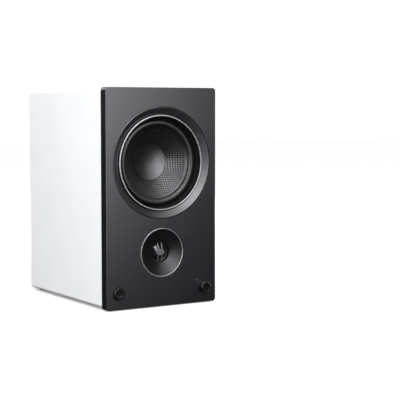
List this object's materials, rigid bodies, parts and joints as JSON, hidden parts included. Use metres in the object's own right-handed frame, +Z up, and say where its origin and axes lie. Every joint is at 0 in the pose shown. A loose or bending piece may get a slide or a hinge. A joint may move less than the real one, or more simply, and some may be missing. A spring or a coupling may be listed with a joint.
{
  "type": "bookshelf speaker",
  "caption": "Powered two-way bookshelf speaker: white box cabinet, dark front baffle, woofer above a small horn tweeter, push button and volume knob, amplifier plate and port at the back.",
  "frame": {"origin": "on the floor, under the middle of the bounding box", "axes": "+X to the right as seen by a listener in front, +Y from the front baffle to the back, +Z up"},
  "size_m": [0.176, 0.2784, 0.305],
  "materials": {
    "white_wrap": "white satin foil wrap over MDF",
    "charcoal_baffle": "dark charcoal satin lacquer over MDF",
    "satin_black": "satin black moulding",
    "silver_trim": "bright brushed aluminium",
    "basket_black": "black powder coat",
    "black_rubber": "matt black rubber",
    "woven_fibre": "dark woven glass fibre with a thin resin coat",
    "cap_satin": "satin dark grey",
    "copper_wire": "lacquered copper winding",
    "spider_cloth": "resin-treated cloth",
    "plated_steel": "zinc plated",
    "ferrite": "dull dark ferrite",
    "silk_dome": "black coated silk",
    "light_pipe": "milky clear plastic",
    "circuit_board": "green solder mask",
    "black_plastic": "black moulded plastic",
    "plate_black": "black anodised sheet",
    "tinned_metal": "nickel plated",
    "gilt_metal": "gold plated",
    "red_plastic": "clear red plastic",
    "wadding": "loose polyester fibre"
  },
  "bodies": {
    "cabinet": {"left_panel": "white_wrap", "right_panel": "white_wrap", "top_panel": "white_wrap", "bottom_panel": "white_wrap", "rear_panel": "white_wrap", "foot_front_left": "black_rubber", "foot_front_right": "black_rubber", "foot_rear_left": "black_rubber", "foot_rear_right": "black_rubber", "front_baffle": "charcoal_baffle", "woofer_trim_ring": "satin_black", "woofer_silver_ring": "silver_trim", "woofer_gasket": "black_rubber", "woofer_basket": "basket_black", "woofer_surround": "black_rubber", "woofer_spider": "spider_cloth", "woofer_top_plate": "plated_steel", "woofer_magnet": "ferrite", "woofer_pole_piece": "plated_steel", "tweeter_waveguide": "satin_black", "tweeter_silver_ring": "silver_trim", "tweeter_diffuser": "black_plastic", "tweeter_surround": "black_rubber", "tweeter_top_plate": "plated_steel", "tweeter_magnet": "ferrite", "tweeter_pole_piece": "plated_steel", "volume_encoder": "tinned_metal", "control_board": "circuit_board", "status_light": "light_pipe", "amplifier_plate": "plate_black", "amplifier_screw_1": "plated_steel", "amplifier_screw_2": "plated_steel", "amplifier_screw_3": "plated_steel", "amplifier_screw_4": "plated_steel", "amplifier_board": "circuit_board", "transformer": "ferrite", "line_socket_left": "tinned_metal", "line_socket_right": "tinned_metal", "subwoofer_socket": "tinned_metal", "speaker_post_red": "gilt_metal", "speaker_post_black": "gilt_metal", "power_inlet": "black_plastic", "power_switch_housing": "black_plastic", "reflex_port": "black_plastic", "wadding_left": "wadding", "wadding_right": "wadding", "wadding_top": "wadding", "woofer_lead": "black_rubber", "tweeter_lead": "black_rubber", "control_cable": "black_rubber"},
    "volume_control": {"volume_knob": "satin_black", "volume_shaft": "plated_steel"},
    "source_button": {"source_button": "satin_black"},
    "woofer_diaphragm": {"woofer_cone": "woven_fibre", "woofer_dust_cap": "cap_satin", "woofer_voice_coil": "copper_wire"},
    "tweeter_diaphragm": {"tweeter_dome": "silk_dome"},
    "power_rocker": {"power_rocker": "black_plastic"},
    "speaker_cap_red": {"speaker_cap_red": "red_plastic"},
    "speaker_cap_black": {"speaker_cap_black": "black_plastic"}
  },
  "joints": [
    {"name": "volume_turn", "type": "hinge", "parent": "cabinet", "child": "volume_control", "pos_m": [0.0674, -0.13075, 0.0234], "axis": [0, 1, 0], "continuous": true},
    {"name": "source_push", "type": "slide", "parent": "cabinet", "child": "source_button", "axis": [0, 1, 0], "range_m": [0, 0.001], "stiffness_N_per_m": 900},
    {"name": "woofer_travel", "type": "slide", "parent": "cabinet", "child": "woofer_diaphragm", "axis": [0, -1, 0], "range_m": [-0.004, 0.004], "stiffness_N_per_m": 1500, "deforming": ["woofer_surround", "woofer_spider"]},
    {"name": "tweeter_travel", "type": "slide", "parent": "cabinet", "child": "tweeter_diaphragm", "axis": [0, -1, 0], "range_m": [-0.0004, 0.0004], "stiffness_N_per_m": 500, "deforming": ["tweeter_surround"]},
    {"name": "power_rock", "type": "hinge", "parent": "cabinet", "child": "power_rocker", "pos_m": [-0.026, 0.12185, 0.058], "axis": [1, 0, 0], "range_deg": [0, 14]},
    {"name": "red_cap_turn", "type": "hinge", "parent": "cabinet", "child": "speaker_cap_red", "pos_m": [0.012, 0.13125, 0.116], "axis": [0, 1, 0], "range_deg": [0, 1080]},
    {"name": "black_cap_turn", "type": "hinge", "parent": "cabinet", "child": "speaker_cap_black", "pos_m": [-0.012, 0.13125, 0.116], "axis": [0, 1, 0], "range_deg": [0, 1080]}
  ]
}
